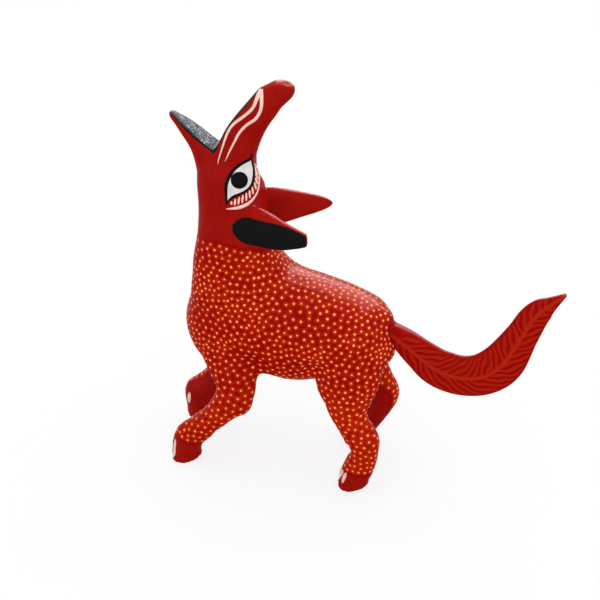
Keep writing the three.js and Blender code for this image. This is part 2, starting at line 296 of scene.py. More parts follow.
@dataclass(frozen=True)
class Paint:
    """Brushed acrylic paint under clear varnish, which every painted finish shares.

    Grains and the relief are in metres, the edge of one paint on another is in millimetres.
    """

    name: str
    colour: Colour
    shade: Colour
    roughness: float = 0.42
    dull_grain: float = 6 * MM
    dull_spread: float = 0.16
    specular: float = 0.0
    coat: float = 0.8
    coat_ior: float = 1.13
    coat_roughness: float = 0.27
    coat_below: float = 0.15
    coat_facing: Place = (-0.45, 0.7)
    drift_grain: float = 9 * MM
    drift_share: float = 0.7
    brush_grain: float = 1.4 * MM
    brush_share: float = 0.5
    brush_run: Point = (1.0, 1.0, 0.35)
    shade_limits: Place = (0.35, 0.85)
    ridge_run: Point = (1.0, 1.0, 0.4)
    peel_grain: float = 4 * MM
    peel_share: float = 1.6
    relief: float = 0.045 * MM
    relief_strength: float = 0.5
    edge: float = 0.12

    def blend(self, graph: Graph) -> Value:
        """Two tones in brushed drifts.

        Args:
            graph: the material's graph.
        Returns:
            The colour over the surface.
        """
        drift = graph.noise(self.drift_grain, FINE)
        streak = graph.noise(self.brush_grain, SOFT, graph.stretched(self.brush_run))
        share = (drift * self.drift_share + streak * self.brush_share).step(*self.shade_limits)
        return graph.mix(share, self.colour, self.shade)

    def height(self, graph: Graph) -> Value:
        """Brush marks and the faint orange peel of varnish."""
        ridges = graph.noise(self.brush_grain, SOFT, graph.stretched(self.ridge_run))
        return ridges + graph.noise(self.peel_grain, SOFT) * self.peel_share

    def material(self) -> Material:
        """Builds the finish.

        Returns:
            A node material of this name.
        """
        graph = Graph(bpy.data.materials.new(self.name))
        dull = graph.noise(self.dull_grain) * self.dull_spread + (self.roughness - self.dull_spread / 2)
        thin = self.coat * self.coat_below
        varnish = graph.upward().step(*self.coat_facing) * (self.coat - thin) + thin
        surface = graph.add(
            "ShaderNodeBsdfPrincipled",
            inputs={
                "Base Color": self.blend(graph),
                "Roughness": dull,
                "Specular IOR Level": self.specular,
                "Coat Weight": varnish,
                "Coat IOR": self.coat_ior,
                "Coat Roughness": self.coat_roughness,
                "Normal": graph.bump(self.height(graph), self.relief, self.relief_strength),
            },
        )
        graph.add("ShaderNodeOutputMaterial", inputs={"Surface": surface})
        return graph.owner


@dataclass(frozen=True)
class SkinPaint(Paint):
    """The carving's paint: red, warmer round each dot, black in the mouth and beside the ears.

    Radii, limits and the lip's width are in millimetres from the marks on the skin.
    """

    between: Colour = srgb(136, 2, 0)
    between_limits: Place = (3.0, 2.2)
    between_share: float = 0.75
    halo: Colour = srgb(176, 33, 0)
    halo_radius: float = 1.6
    halo_solid: float = 0.55
    halo_share: float = 0.95
    wobble_grain: float = 1.2 * MM
    wobble: float = 1.3
    fringe: Colour = srgb(208, 76, 22)
    fringe_radius: float = 0.76
    fringe_solid: float = 0.5
    fringe_share: float = 0.8
    chipped: Colour = srgb(74, 8, 6)
    chip_limits: Place = (0.8, 0.4)
    chip_share: float = 0.8
    lip_width: float = 0.5

    def blend(self, graph: Graph) -> Value:
        """Red ground, deeper among the dots, halos, fringes, then the black parts over them.

        Args:
            graph: the material's graph.
        Returns:
            The colour over the surface.
        """
        gap = graph.mark("dot_gap")
        among = gap.step(*self.between_limits) * self.between_share
        ground = graph.mix(among, super().blend(graph), self.between)
        shaken = gap + (graph.noise(self.wobble_grain, SOFT) - 0.5) * self.wobble
        near = shaken.step(self.halo_radius, self.halo_solid * self.halo_radius) * self.halo_share
        warm = graph.mix(near, ground, self.halo)
        touched = gap.step(self.fringe_radius, self.fringe_solid * self.fringe_radius) * self.fringe_share
        dotted = graph.mix(touched, warm, self.fringe)
        chip = graph.mark("nick_gap").step(*self.chip_limits) * self.chip_share
        nicked = graph.mix(chip, dotted, self.chipped)
        mouth = graph.mark("mouth_gap").step(self.lip_width + self.edge, self.lip_width - self.edge)
        cheek = graph.mark("cheek_patch").step(-self.edge, self.edge)
        return graph.mix(mouth.larger(cheek), nicked, BLACK)


@dataclass(frozen=True)
class FeatherPaint(Paint):
    """The tail's paint: lighter barbs brushed out from a lighter shaft."""

    barb: Colour = srgb(166, 27, 8)
    barb_limits: Place = (-0.9, 0.95)
    ragged_grain: float = 3.2 * MM
    ragged: float = 2.2
    shaft: Colour = srgb(174, 36, 14)
    shaft_limits: Place = (1.15, 0.55)
    shaft_share: float = 0.85

    def blend(self, graph: Graph) -> Value:
        """Ground red, barbs by their phase, then the shaft.

        Args:
            graph: the material's graph.
        Returns:
            The colour over the surface.
        """
        ragged = (graph.noise(self.ragged_grain, FINE) - 0.5) * self.ragged
        stroke = (graph.mark("barb_phase") + ragged).sine().step(*self.barb_limits)
        barbs = graph.mix(stroke * graph.mark("barb_weight"), super().blend(graph), self.barb)
        middle = graph.mark("shaft_gap").step(*self.shaft_limits) * self.shaft_share
        return graph.mix(middle, barbs, self.shaft)


@dataclass(frozen=True)
class EarPaint(Paint):
    """The ears' paint: red with a black outer face."""

    def blend(self, graph: Graph) -> Value:
        """Red, then black inside the outer face's margin."""
        inside = graph.mark("black_margin").step(-self.edge, self.edge)
        return graph.mix(inside, super().blend(graph), BLACK)


@dataclass(frozen=True)
class DotPaint(Paint):
    """Thick dots of mixed cream, each of its own tint; the shade is yellow."""

    pink: Colour = srgb(250, 140, 104)
    cream_limits: Place = (0.35, 0.7)

    def blend(self, graph: Graph) -> Value:
        """Each dot's tint, from yellow through cream to pink."""
        cream = [(limit, self.colour) for limit in self.cream_limits]
        return graph.tones(graph.mark("dot_tint"), [(0.0, self.shade), *cream, (1.0, self.pink)])


@dataclass(frozen=True)
class GlitterPaint(Paint):
    """Silver glitter in clear varnish, drawn in diffuse greys: the grey is the silver's colour, and each
    flake's own brightness is a painted glint.
    """

    flake: float = 0.42 * MM
    flake_height: float = 3.0
    dull: Colour = srgb(104, 108, 112)
    dull_at: float = 0.5
    colour_at: float = 0.8
    # Painted glint: the grey of the brightest flakes, a diffuse stand-in for the silver's sparkle
    glint_grey: Colour = srgb(218, 222, 224)

    def _flakes(self, graph: Graph, output: str) -> Value:
        """Cells as large as the flakes."""
        inputs = {"Vector": graph.place(), "Scale": 1 / self.flake}
        return graph.add("ShaderNodeTexVoronoi", inputs=inputs, output=output)

    def blend(self, graph: Graph) -> Value:
        """Grey flakes, each of its own brightness, which paints the glints of the silver.

        Args:
            graph: the material's graph.
        Returns:
            The colour over the surface.
        """
        # Each flake's brightness is painted glint, standing in for the silver's reflections
        glint_share = graph.add("ShaderNodeSeparateColor", inputs={"Color": self._flakes(graph, "Color")})
        greys = [(self.dull_at, self.dull), (self.colour_at, self.colour)]
        return graph.tones(glint_share, [(0.0, self.shade), *greys, (1.0, self.glint_grey)])

    def height(self, graph: Graph) -> Value:
        """Flakes that lie at all angles."""
        return self._flakes(graph, "Distance") * self.flake_height


@dataclass(frozen=True)
class BareWood(Paint):
    """Unpainted soft wood with its grain along X."""

    grain: float = 0.7 * MM
    grain_run: Point = (0.12, 1.0, 1.0)
    grain_limits: Place = (0.35, 0.7)

    def blend(self, graph: Graph) -> Value:
        """Pale wood with darker grain lines."""
        lines = graph.noise(self.grain, FINE, graph.stretched(self.grain_run))
        return graph.mix(lines.step(*self.grain_limits), self.colour, self.shade)


SKIN_PAINT = SkinPaint("skin_paint", RED, DEEP_RED)
TAIL_PAINT = FeatherPaint("tail_paint", srgb(148, 7, 2), srgb(138, 4, 1))
EAR_PAINT = EarPaint("ear_paint", srgb(163, 21, 14), srgb(150, 15, 10))
DOT_PAINT = DotPaint("dot_paint", srgb(255, 168, 112), srgb(254, 160, 70), roughness=0.34)
BLACK_PAINT = Paint("black_paint", srgb(19, 19, 18), srgb(12, 12, 12))
EYE_WHITE = Paint("eye_white_paint", srgb(226, 223, 218), srgb(204, 200, 196))
CREAM_PAINT = Paint("cream_paint", srgb(240, 212, 198), srgb(236, 184, 168))
CLAW_PAINT = Paint("claw_paint", srgb(238, 206, 196), srgb(226, 178, 166))
FILLER_PAINT = Paint("filler_paint", RED, DEEP_RED)
SILVER = srgb(150, 154, 158)
# Silver glitter as diffuse greys, whose brighter flakes are painted glints
SILVER_GLITTER = GlitterPaint("silver_glitter", SILVER, srgb(48, 50, 56), coat=0.1, relief=0.12 * MM)
PEG_WOOD = BareWood("peg_wood", srgb(214, 180, 132), srgb(178, 138, 92), roughness=0.7, coat=0.0)


# Mesh helpers


def lattice(points: np.ndarray, marks: dict[str, np.ndarray] | None = None) -> BMesh:
    """A sheet of quads bent to a table of points, with its seams and poles merged.

    Args:
        points: rows by columns by 3, in metres.
        marks: named values to keep on the points, rows by columns.
    Returns:
        The sheet as a bmesh, its faces turned outward.
    """
    rows, columns = points.shape[0] - 1, points.shape[1] - 1
    bm = bmesh.new()
    bmesh.ops.create_grid(bm, x_segments=rows, y_segments=columns, size=0.5)
    layers = {name: bm.verts.layers.float.new(name) for name in marks or {}}
    for vert in bm.verts:
        row = round((vert.co.x + 0.5) * rows)
        column = round((vert.co.y + 0.5) * columns)
        vert.co = points[row, column]
        for name, layer in layers.items():
            vert[layer] = marks[name][row, column]
    bmesh.ops.remove_doubles(bm, verts=bm.verts, dist=MERGE)
    bmesh.ops.recalc_face_normals(bm, faces=bm.faces)
    return bm


def piece(
    name: str, bm: BMesh, material: Material, body: str = "carving"
) -> bpy.types.Object:
    """Makes a finished piece that rides on a body.

    Args:
        name: the piece's name.
        bm: its mesh, which is freed.
        material: its finish.
        body: the body that it moves with.
    Returns:
        The new object.
    """
    mesh = bpy.data.meshes.new(name)
    bm.to_mesh(mesh)
    bm.free()
    mesh.materials.append(material)
    mesh.shade_smooth()
    obj = bpy.data.objects.new(name, mesh)
    bpy.context.collection.objects.link(obj)
    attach(obj, body)
    log.info("%s: %d faces on %s", name, len(mesh.polygons), body)
    return obj


@dataclass(frozen=True)
class Easel:
    """A flat drawing plane held before the skin, whose marks are pressed straight on to it.

    All sizes are in millimetres. Places on it run across and up from the origin.
    """

    skin: BVHTree
    origin: Point
    out: Point
    side: Side = Side.LEFT
    reach: float = 30.0
    depth: float = 0.3
    patch_fall: float = 0.55
    patch_power: int = 4
    stroke_fall: float = 0.6
    stroke_ribs: int = 7
    least_width: float = 0.06

    def press(self, across: float, up: float) -> tuple[Vector, Vector]:
        """Finds the skin under a place.

        Args:
            across: millimetres along the plane's level axis, as is up along the other.
        Returns:
            The point on the skin in metres and the skin's normal, mirrored for the right side.
        """
        out = Vector(self.out).normalized()
        right = Vector((0, 0, 1)).cross(out).normalized()
        flip = Vector((1, -self.side.value, 1))
        start = (Vector(self.origin) * MM + (right * across + out.cross(right) * up) * MM) * flip
        reach = self.reach * MM
        hit, normal, _, _ = self.skin.ray_cast(start + out * flip * reach, -out * flip, 2 * reach)
        if hit is None:
            hit, normal, _, _ = self.skin.find_nearest(start)
        return hit, normal

    def faces(self, places: np.ndarray, lifts: np.ndarray) -> tuple[np.ndarray, np.ndarray]:
        """Presses a table of places on to the skin.

        Args:
            places: rows by columns by 2, on the plane.
            lifts: rows by columns, how far the film's face stands off the skin.
        Returns:
            The points of the film's face and those of its back under the skin, in metres.
        """
        face = np.empty((*lifts.shape, 3))
        back = np.empty_like(face)
        for index in np.ndindex(lifts.shape):
            hit, normal = self.press(*places[index])
            face[index] = hit + normal * (lifts[index] * MM)
            back[index] = hit - normal * (self.depth * MM)
        return face, back

    def patch(self, outline: np.ndarray, lift: float, rings: int) -> BMesh:
        """A closed film of paint inside an outline, highest in its middle.

        Args:
            outline: closed run of places, without the first one again.
            lift: the height of its middle.
            rings: steps from the middle to the edge.
        Returns:
            The film as a bmesh.
        """
        loop = np.vstack([outline, outline[:1]])
        middle = outline.mean(axis=0)
        shares = np.linspace(0, 1, rings + 1)[:, None, None]
        places = middle + (loop - middle) * shares
        fall = 1 - self.patch_fall * shares[:, :, 0] ** self.patch_power
        face, back = self.faces(places, lift * fall * np.ones(len(loop)))
        return lattice(np.concatenate([face, back[::-1]]))

    def stroke(self, path: Sequence[Point], lift: float, steps: int) -> BMesh:
        """A closed brush stroke along a path.

        Args:
            path: rows of across, up and width.
            lift: the height of the stroke's middle.
            steps: how many steps it has along.
        Returns:
            The stroke as a bmesh.
        """
        rows = spline(path, steps + 1)
        along = np.gradient(rows[:, :2], axis=0)
        along /= np.linalg.norm(along, axis=1)[:, None]
        over = np.stack([-along[:, 1], along[:, 0]], axis=1)
        ribs = np.linspace(-1, 1, self.stroke_ribs)
        half = np.maximum(rows[:, 2], self.least_width)[:, None, None] / 2
        places = rows[:, None, :2] + over[:, None, :] * ribs[None, :, None] * half
        fall = (1 - self.stroke_fall * ribs**2)[None, :]
        face, back = self.faces(places, lift * fall * np.ones((steps + 1, 1)))
        ring = np.concatenate([face, back[:, ::-1], face[:, :1]], axis=1)
        tips = [np.broadcast_to(ring[end].mean(axis=0), ring[:1].shape) for end in (0, -1)]
        return lattice(np.concatenate([tips[0], ring, tips[1]]))


# The pegged pieces


@dataclass
class Peg:
    """A hidden wooden peg, which keeps its CAD shape."""

    node: str

    def dress(self, material: Material) -> None:
        """Gives the peg bare wood.

        Args:
            material: the wood.
        """
        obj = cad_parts[self.node]
        obj.data.materials.clear()
        obj.data.materials.append(material)
        log.info("%s: bare wood", self.node)


@dataclass
class Tail:
    """The flat tail, cut as a feather on both faces, and the filler at its root.

    Sizes are in millimetres. Each station has its place in lengths along and up from the root, then its
    thickness and its width as shares of the halves.
    """

    root: Point = TAIL_SEAT
    length: float = 70.0
    half_thickness: float = 2.4
    half_width: float = 10.0
    rings: int = 330
    sides: int = 112
    flatness: float = 2.7
    edge_power: float = 0.85
    overlap: float = 1.6
    barb_pitch: float = 4.1
    barb_lean: float = 1.1
    barb_curl: float = 0.035
    barb_relief: float = 0.1
    sway: Place = (0.7, 0.9)
    side_sway: Place = (1.1, 0.41)
    least_width: float = 0.1
    rim_fade: Place = (0.97, 0.83)
    middle_fade: Place = (0.5, 1.0)
    root_fade: Place = (4.0, 9.0)
    tip_fade: Place = (3.0, 9.0)
    shaft_relief: float = 0.22
    shaft_width: float = 0.75
    face_gain: float = 2.0
    stations: Stations = (
        (-0.0054, -0.0116, 1.33, 0.36),
        (0.1031, -0.0875, 1.33, 0.59),
        (0.2053, -0.169, 1.125, 0.772),
        (0.3174, -0.2435, 1.0, 0.949),
        (0.45, -0.2713, 1.0, 0.98),
        (0.585, -0.2371, 1.0, 0.972),
        (0.6924, -0.1321, 1.0, 0.918),
        (0.7861, 0.0664, 0.917, 0.683),
        (0.8415, 0.1967, 0.833, 0.597),
        (0.8907, 0.272, 0.75, 0.491),
        (0.9424, 0.3224, 0.625, 0.29),
        (1.0145, 0.39, 0.35, 0.06),
    )
    bead_turn: float = 1.9
    bead_steps: int = 40
    bead_sides: int = 12
    bead_radius: float = 1.1
    bead_length: float = 1.8
    bead_sink: float = 0.9

    def _barbs(self, run: np.ndarray, across: np.ndarray, wide: np.ndarray) -> tuple[np.ndarray, np.ndarray]:
        """Lays out the feather's barbs.

        Args:
            run: how far along the shaft each row is.
            across: how far off the shaft each point is.
            wide: half of the blade's width in each row.
        Returns:
            The barbs' phase in radians and their weight from 0 to 1, rows by columns.
        """
        off = np.abs(across)
        (wave, rate), (side_wave, side_rate) = self.sway, self.side_sway
        phase = 2 * math.pi * (run - self.barb_lean * off) / self.barb_pitch - self.barb_curl * across**2
        phase += side_wave * np.sin(run * side_rate) * np.sign(across) + wave * np.sin(run * rate)
        weight = ramp(off / np.maximum(wide, self.least_width), self.rim_fade) * ramp(off, self.middle_fade)
        return phase, weight * ramp(run, self.root_fade) * ramp(run[-1] - run, self.tip_fade)

    def build(self) -> BMesh:
        """Bends a sheet round the tail's shaft and cuts the feather into it.

        Returns:
            The closed tail with its barb and shaft marks.
        """
        rows = spline(self.stations, self.rings + 1)
        shaft = rows[:, :2] * self.length
        run = np.concatenate([[0], np.cumsum(np.linalg.norm(np.diff(shaft, axis=0), axis=1))])[:, None]
        tangent = np.gradient(shaft, axis=0)
        tangent /= np.linalg.norm(tangent, axis=1)[:, None]
        shaft[:2] = shaft[0] - tangent[0] * self.overlap
        ends = np.ones((self.rings + 1, 1))
        ends[[0, -1]] = 0
        angle = np.linspace(0, 2 * math.pi, self.sides + 1)
        through = np.sign(np.cos(angle)) * np.abs(np.cos(angle)) ** (2 / self.flatness)
        over = np.sign(np.sin(angle)) * np.abs(np.sin(angle)) ** self.edge_power
        wide = rows[:, 3:] * self.half_width
        across = wide * ends * over
        phase, weight = self._barbs(run, across, wide)
        ridge = np.exp(-((across / self.shaft_width) ** 2)) * ramp(run, self.root_fade)
        raised = self.barb_relief * (np.sin(phase) - 1) * weight + self.shaft_relief * ridge
        facing = np.sign(through) * np.minimum(np.abs(through) * self.face_gain, 1)
        depth = (rows[:, 2:3] * self.half_thickness * through + facing * raised) * ends
        points = np.stack(
            [
                self.root[0] + shaft[:, :1] - tangent[:, 1:] * across,
                self.root[1] + depth,
                self.root[2] + shaft[:, 1:] + tangent[:, :1] * across,
            ],
            axis=2,
        )
        marks = {"barb_phase": phase, "barb_weight": weight, "shaft_gap": np.abs(across)}
        return lattice(points * MM, marks)

    def bead(self) -> BMesh:
        """The smear of filler that hides the joint over the top of the tail's root.

        Returns:
            A closed bead, thickest on top and thin at both ends.
        """
        (x0, z0, thick, wide), (x1, z1, _, _) = self.stations[:2]
        axis = Vector((x1 - x0, 0, z1 - z0)).normalized()
        top = Vector((-axis.z, 0, axis.x))
        middle = Vector(self.root) + Vector((x0, 0, z0)) * self.length
        turns = np.linspace(-self.bead_turn, self.bead_turn, self.bead_steps + 1)
        swell = np.sqrt(np.clip(1 - (turns / self.bead_turn) ** 2, 0, 1)) * self.bead_radius
        angles = np.linspace(0, 2 * math.pi, self.bead_sides + 1)
        points = np.empty((len(turns), len(angles), 3))
        for row, (turn, radius) in enumerate(zip(turns, swell)):
            out = Vector((0, 1, 0)) * math.sin(turn) + top * math.cos(turn)
            up = out.dot(top) * wide * self.half_width
            beside = math.sin(turn) * thick * self.half_thickness
            centre = middle + (top * up + Vector((0, beside, 0))) * self.bead_sink
            for column, angle in enumerate(angles):
                rim = out * math.sin(angle) + axis * math.cos(angle) * self.bead_length
                points[row, column] = centre + rim * radius
        return lattice(points * MM)

    def dress(self, material: Material, filler: Material) -> None:
        """Puts the feathered tail in place of the plain one, with filler at its root."""
        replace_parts(piece("feathered_tail", self.build(), material, "tail_on_peg"), "tail")
        piece("tail_filler", self.bead(), filler, "tail_on_peg")


@dataclass
class Ear:
    """One ear's leaf. Sizes are in millimetres and degrees, and its stations are laid out as the tail's."""

    side: Side
    stations: Stations
    root: Point = (-39.89, 9.0, 118.59)
    length: float = 24.7
    half_height: float = 9.0
    half_thickness: float = 1.4
    splay: float = 18.0
    rise: float = 3.0
    rings: int = 64
    sides: int = 72
    overlap: float = 1.7
    sleeve: float = 0.13
    sleeve_length: float = 5.0
    squareness: float = 0.5
    square_from: float = 7.0
    black_foot: float = -0.95
    black_edge: Places = ((0.0, 0.51), (6.0, 0.62), (11.7, 0.83), (16.7, 0.92))

    @property
    def turn(self) -> Matrix:
        """The ear's own frame: X to its tip, Y through it and Z up."""
        spread = Matrix.Rotation(self.side.value * math.radians(self.splay), 3, "Z")
        return spread @ Matrix.Rotation(-math.radians(self.rise), 3, "Y")

    @property
    def seat(self) -> Vector:
        """The middle of the ear's root, in metres."""
        return Vector((self.root[0], self.side.value * self.root[1], self.root[2])) * MM

    def build(self) -> BMesh:
        """Bends a sheet round the ear's middle line.

        Returns:
            The closed ear with the margin of its black face marked.
        """
        rows = spline(self.stations, self.rings + 1)
        along = rows[:, 0] * self.length
        along[:2] = -self.overlap
        along[2] = -self.overlap / 2
        proud = self.sleeve * np.clip(1 - along / self.sleeve_length, 0, 1)
        proud[:2] = 0
        high = rows[:, 3] * self.half_height + proud
        ends = np.ones(self.rings + 1)
        ends[[0, -1]] = 0
        angle = np.linspace(0, 2 * math.pi, self.sides + 1)
        power = 1 - self.squareness * np.clip(along / self.square_from, 0, 1)[:, None]
        section = np.sign(np.cos(angle)) * np.abs(np.cos(angle)) ** power
        through = ((rows[:, 2] * self.half_thickness + proud) * ends)[:, None] * section
        height = (high * ends)[:, None] * np.sin(angle)
        share = np.sin(angle)[None, :] * np.ones_like(height)
        black_top = graded(along, self.black_edge)[:, None]
        inside = np.minimum(black_top - share, share - self.black_foot) * high[:, None]
        outer = np.cos(angle)[None, :] * self.side.value > 0
        lift = rows[:, 1:2] * self.length
        points = np.stack([along[:, None] * np.ones_like(height), through, height + lift], axis=2)
        placed = points @ np.array(self.turn).T * MM + np.array(self.seat)
        return lattice(placed, {"black_margin": np.where(outer, inside, OUTSIDE)})

    def dress(self, material: Material) -> None:
        """Puts the painted ear in place of the plain one.

        Args:
            material: the ears' paint.
        """
        word = self.side.word
        obj = piece(f"{word}_painted_ear", self.build(), material, f"{word}_ear_on_peg")
        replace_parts(obj, f"{word}_ear")


# The carving and what is painted on it


@dataclass(frozen=True)
class Paw:
    """One paw: its place, the way its toes point and how high its paint goes. In millimetres and degrees."""

    name: str
    x: float
    y: float
    turn: float
    dot_z: float
    claw_z: float
    claw_length: float
    claw_lean: float = 0.0
    dot_slope: float = 0.0
    toe_spread: float = 40.0
    reach: float = 9.0
    sole: float = 0.3
    groove: float = 0.5
    groove_width: float = 6.5
    groove_top: float = 12.0
    groove_fade: float = 4.0
    heel_from: float = -1.0
    heel_slope: float = 0.42
    heel_top: float = 7.0
    flare: float = 0.6
    flare_top: float = 4.0

    def dot_line(self, x: float) -> float:
        """The height where the dots end."""
        return self.dot_z + self.dot_slope * (x - self.x)

    def pressed(self, x: float, y: float, z: float) -> Vector:
        """How far a point of the skin moves to shape the toes and the heel.

        Args:
            x: the point's place, with y and z.
        Returns:
            The move in millimetres.
        """
        ahead, beside = self.x - x, y - self.y
        outward = Vector((-ahead, beside, 0))
        heel = max(0.0, self.heel_from - ahead) * self.heel_slope * max(0.0, 1 - z / self.heel_top)
        rim = outward / max(1.0, math.hypot(ahead, beside))
        move = Vector((0, 0, heel)) + rim * self.flare * max(0.0, 1 - z / self.flare_top)
        if ahead > 0 and z > self.sole:
            off = abs(math.degrees(math.atan2(beside, ahead)) - self.turn) - self.toe_spread / 2
            fade = min(1.0, (self.groove_top - z) / self.groove_fade)
            move -= outward.normalized() * self.groove * math.exp(-((off / self.groove_width) ** 2)) * fade
        return move


@dataclass(frozen=True)
class Cut:
    """A place where the knife took wood away from the rough carving, or left it fuller. In millimetres."""

    name: str
    place: Point
    reach: float
    move: Point

    def moves(self, points: np.ndarray) -> np.ndarray:
        """How far each point moves: the whole move at the place, none beyond its reach."""
        apart = ((points - self.place) ** 2).sum(axis=1) / self.reach**2
        return (np.clip(1 - apart, 0, 1) ** 2)[:, None] * self.move


@dataclass
class Carving:
    """The carved body's smooth skin.

    Sizes are in millimetres and degrees. Bands are a lowest and a highest height and a fade, and the runs of
    the mouth start at its corner.
    """

    ears: Sequence[Ear]
    paws: Sequence[Paw]
    cuts: Sequence[Cut]
    voxel: float = 0.68
    rubs: tuple[int, int, int] = (12, 16, 90)
    rub_factor: float = 0.5
    sole_rub: float = 0.15
    sole_fade: float = 5.0
    limb_band: Point = (10.0, 147.0, 3.0)
    snout_band: Point = (165.0, 200.0, 4.0)
    trunk_band: Point = (34.0, 130.0, 12.0)
    tail_room: float = 6.5
    ear_room: float = 9.5
    swell: float = 0.22
    swell_from: float = 0.4
    hock_z: float = 39.0
    inner_face: float = 0.25
    inner_slope: float = 0.03
    inner_z: float = 14.0
    collar: Places = (
        (-72.0, 108.6), (-66.4, 109.4), (-57.1, 110.6), (-46.4, 109.2), (-38.3, 106.8), (-30.0, 104.0)
    )
    tail_droop: float = 36.0
    socket_depth: float = 14.0
    socket_radius: float = 4.6
    run_steps: int = 160
    palate: Places = ((0.0, 0.0), (1.44, 2.3), (5.9, 11.42), (12.34, 20.06), (19.0, 28.75))
    mouth_floor: Places = ((-20.6, 14.4), (-17.2, 12.3), (-12.89, 9.11), (-7.55, 5.0), (0.0, 0.0))
    mouth_web: Places = ((0.0, 0.0), (-0.2, 0.9), (-0.42, 1.9))
    cheek_reach: float = 8.6
    cheek_overlap: float = 1.2
    cheek_depth: float = 4.0
    cheek_top: float = 12.0
    cheek_half_height: float = 6.6
    cheek_power: float = 0.6
    cheek_drop: float = 1.9
    cheek_slope: float = 0.2
    cheek_inset: float = 0.3
    spread_on_legs: Places = ((12.0, 0.92), (24.0, 0.82), (40.0, 0.77), (54.0, 1.0))
    nicks: Path = ((-29.6, -0.8, 178.6), (-39.7, 5.9, 118.7))
    bm: BMesh = field(init=False)
    tree: BVHTree = field(init=False)

    def build(self) -> None:
        """Remeshes the CAD body evenly, rubs its creases smooth, then makes the cuts and grooves the toes."""
        body = bmesh.new()
        body.from_mesh(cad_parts["carved_body"].data)
        bmesh.ops.remove_doubles(body, verts=body.verts, dist=MERGE)
        even = self._modified(body, [("REMESH", {"mode": "VOXEL", "voxel_size": self.voxel * MM})])
        groups = even.verts.layers.deform.verify()
        for vert in even.verts:
            for index, share in enumerate(self._softness(vert.co / MM)):
                vert[groups][index] = share
        rubs = [
            ("SMOOTH", {"factor": self.rub_factor, "iterations": times, "vertex_group": f"rub_{index}"})
            for index, times in enumerate(self.rubs)
        ]
        self.bm = self._modified(even, rubs)
        self.bm.normal_update()
        for vert in self.bm.verts:
            if vert.co.z > self.swell_from * MM:
                vert.co += vert.normal * self.swell * MM
        points = np.array([vert.co for vert in self.bm.verts]) / MM
        moved = points + sum(cut.moves(points) for cut in self.cuts)
        for vert, place in zip(self.bm.verts, moved):
            vert.co = Vector(place) * MM
        self._shape_paws()
        self.bm.normal_update()
        self.tree = BVHTree.FromBMesh(self.bm)

    def _modified(self, bm: BMesh, steps: Sequence[tuple[str, dict[str, Any]]]) -> BMesh:
        """Runs modifiers over a mesh.

        Args:
            bm: the mesh, which is freed.
            steps: each modifier's type and settings, in order.
        Returns:
            The result as a new bmesh.
        """
        mesh = bpy.data.meshes.new("rough_carving")
        bm.to_mesh(mesh)
        bm.free()
        obj = bpy.data.objects.new("rough_carving", mesh)
        bpy.context.collection.objects.link(obj)
        for index in range(len(self.rubs)):
            obj.vertex_groups.new(name=f"rub_{index}")
        for number, (kind, settings) in enumerate(steps):
            modifier = obj.modifiers.new(f"step_{number}", kind)
            for key, setting in settings.items():
                setattr(modifier, key, setting)
        done = bpy.data.meshes.new_from_object(obj.evaluated_get(bpy.context.evaluated_depsgraph_get()))
        result = bmesh.new()
        result.from_mesh(done)
        bpy.data.objects.remove(obj)
        for used in (mesh, done):
            bpy.data.meshes.remove(used)
        return result

    def _softness(self, place: Vector) -> Point:
        """How much each round of rubbing takes at a place.

        Args:
            place: a point of the rough carving.
        Returns:
            A share for the rubbing all over, that of the legs and head, and that of the trunk.
        """
        def band(limits: Point) -> float:
            """1 well inside a range of heights, 0 outside it."""
            low, high, fade = limits
            return min(1.0, max(0.0, min(place.z - low, high - place.z) / fade))

        seats = [(Vector(TAIL_SEAT), self.tail_room)] + [(ear.seat / MM, self.ear_room) for ear in self.ears]
        free = min(min(1.0, max(0.0, (place - seat).length - room)) for seat, room in seats)
        limbs = max(band(self.limb_band) * free, band(self.snout_band))
        return min(1.0, self.sole_rub + place.z / self.sole_fade), limbs, band(self.trunk_band) * free

    def _shape_paws(self) -> None:
        """Presses two grooves into the front of each paw, which leave three toes, and rounds its heel."""
        for vert in self.bm.verts:
            x, y, z = vert.co / MM
            paw = next((paw for paw in self.paws if math.hypot(paw.x - x, paw.y - y) < paw.reach), None)
            if paw and z < paw.groove_top:
                vert.co += paw.pressed(x, y, z) * MM

    def wears_dots(self, vert: bmesh.types.BMVert) -> bool:
        """Whether the skin is dotted there.

        Args:
            vert: a point of the skin.
        Returns:
            False on the head, the paws and the inner shanks, and in the tail's socket.
        """
        x, y, z = vert.co / MM
        paw = min(self.paws, key=lambda paw: math.hypot(paw.x - x, paw.y - y))
        if not paw.dot_line(x) < z < graded(x, self.collar):
            return False
        inward = -vert.normal.y if y > 0 else vert.normal.y
        if z < self.hock_z and inward > self.inner_face + self.inner_slope * max(0.0, z - self.inner_z):
            return False
        droop = math.radians(self.tail_droop)
        axis = Vector((math.cos(droop), 0, -math.sin(droop)))
        offset = vert.co / MM - Vector(TAIL_SEAT)
        along = offset.dot(axis)
        return along <= -self.socket_depth or (offset - axis * along).length >= self.socket_radius

    def cheek_patch(self, place: Vector) -> float:
        """How far inside the black patch before an ear a place is.

        Args:
            place: a point of the skin in metres.
        Returns:
            Millimetres from the patch's edge, less than 0 outside it.
        """
        for ear in self.ears:
            along, beside, up = ear.turn.transposed() @ (place - ear.seat) / MM
            outward = beside * ear.side.value
            level = -self.cheek_reach < along < self.cheek_overlap and abs(up) < self.cheek_top
            if level and outward > -self.cheek_depth:
                nose = max(0.0, 1 - (max(0.0, -along) / self.cheek_reach) ** 2) ** self.cheek_power
                inside = self.cheek_half_height * nose - abs(up + self.cheek_drop + self.cheek_slope * along)
                return min(inside, outward - self.cheek_inset)
        return OUTSIDE

